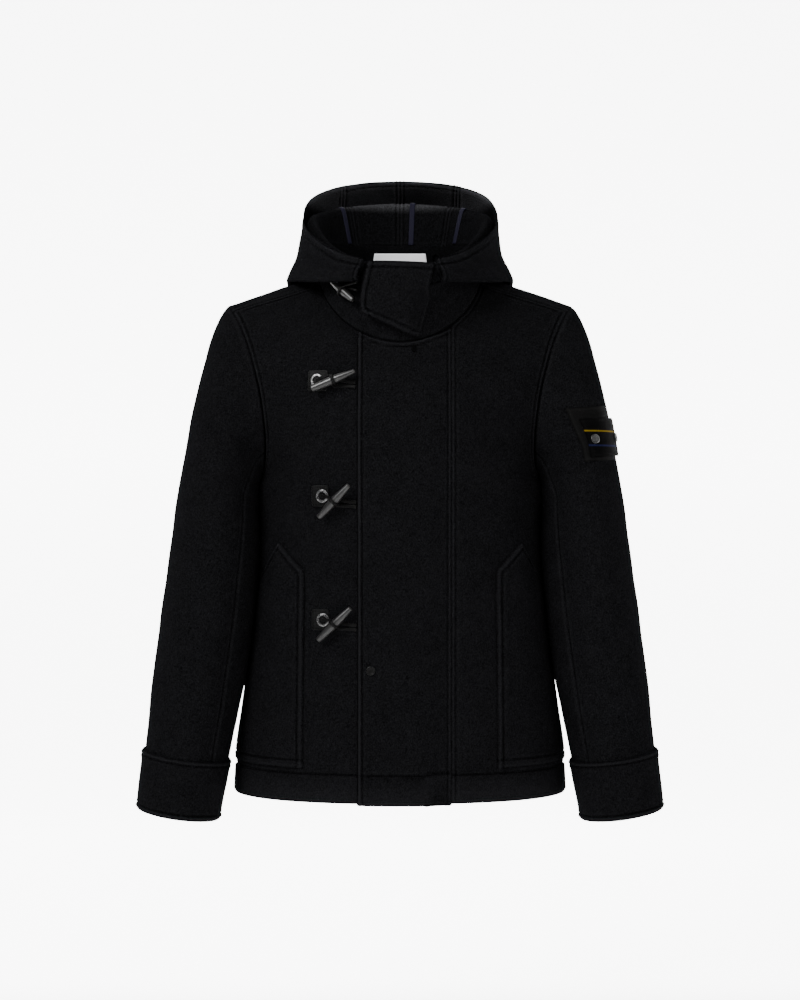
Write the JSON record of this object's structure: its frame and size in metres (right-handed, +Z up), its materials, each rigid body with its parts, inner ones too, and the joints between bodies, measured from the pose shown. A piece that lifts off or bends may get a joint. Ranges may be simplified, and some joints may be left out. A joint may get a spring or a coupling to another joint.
{
  "type": "hooded wool parka",
  "caption": "Short straight hooded coat of black wool with toggle and cord fastenings, pointed patch pockets, turned-back cuffs and the hood lying back, filled out as worn.",
  "frame": {"origin": "middle of the neck, level with the shoulders' neck points, where a wearer's body holds the coat up", "axes": "+Z up along the body, -Y out of the front, +X to the wearer's left arm"},
  "size_m": [0.6858, 0.3689, 0.8567],
  "materials": {
    "black_wool": "heavy milled wool melton with a short nap, matt",
    "black_leather": "smooth black leather, half matt",
    "black_horn": "black horn look, satin gloss",
    "dark_metal": "blackened metal, satin gloss",
    "white_satin": "white satin weave, bare",
    "black_canvas": "dense black felt and canvas, matt"
  },
  "bodies": {
    "root": {"arm_button_1": "black_horn", "arm_button_2": "black_horn", "arm_tab": "black_canvas", "arm_tab_base": "black_canvas", "back": "black_wool", "bar_tack": "black_leather", "cuff_left": "black_wool", "cuff_right": "black_wool", "eyelet_1": "dark_metal", "eyelet_2": "dark_metal", "eyelet_3": "dark_metal", "eyelet_cord_1": "black_leather", "eyelet_cord_2": "black_leather", "eyelet_cord_3": "black_leather", "front_left": "black_wool", "front_right": "black_wool", "hanger_loop": "black_wool", "hood_back_left": "black_wool", "hood_back_right": "black_wool", "hood_side_left": "black_wool", "hood_side_right": "black_wool", "neck_cord": "black_leather", "neck_label": "white_satin", "neckband": "black_wool", "placket": "black_wool", "placket_cord_1": "black_leather", "placket_cord_2": "black_leather", "placket_cord_3": "black_leather", "pocket_left": "black_wool", "pocket_right": "black_wool", "sleeve_outer_left": "black_wool", "sleeve_outer_right": "black_wool", "sleeve_under_left": "black_wool", "sleeve_under_right": "black_wool", "snap": "dark_metal", "throat_flap": "black_wool", "toggle_1": "black_horn", "toggle_2": "black_horn", "toggle_3": "black_horn", "toggle_neck": "black_horn", "toggle_patch_1": "black_leather", "toggle_patch_2": "black_leather", "toggle_patch_3": "black_leather"}
  },
  "joints": []
}
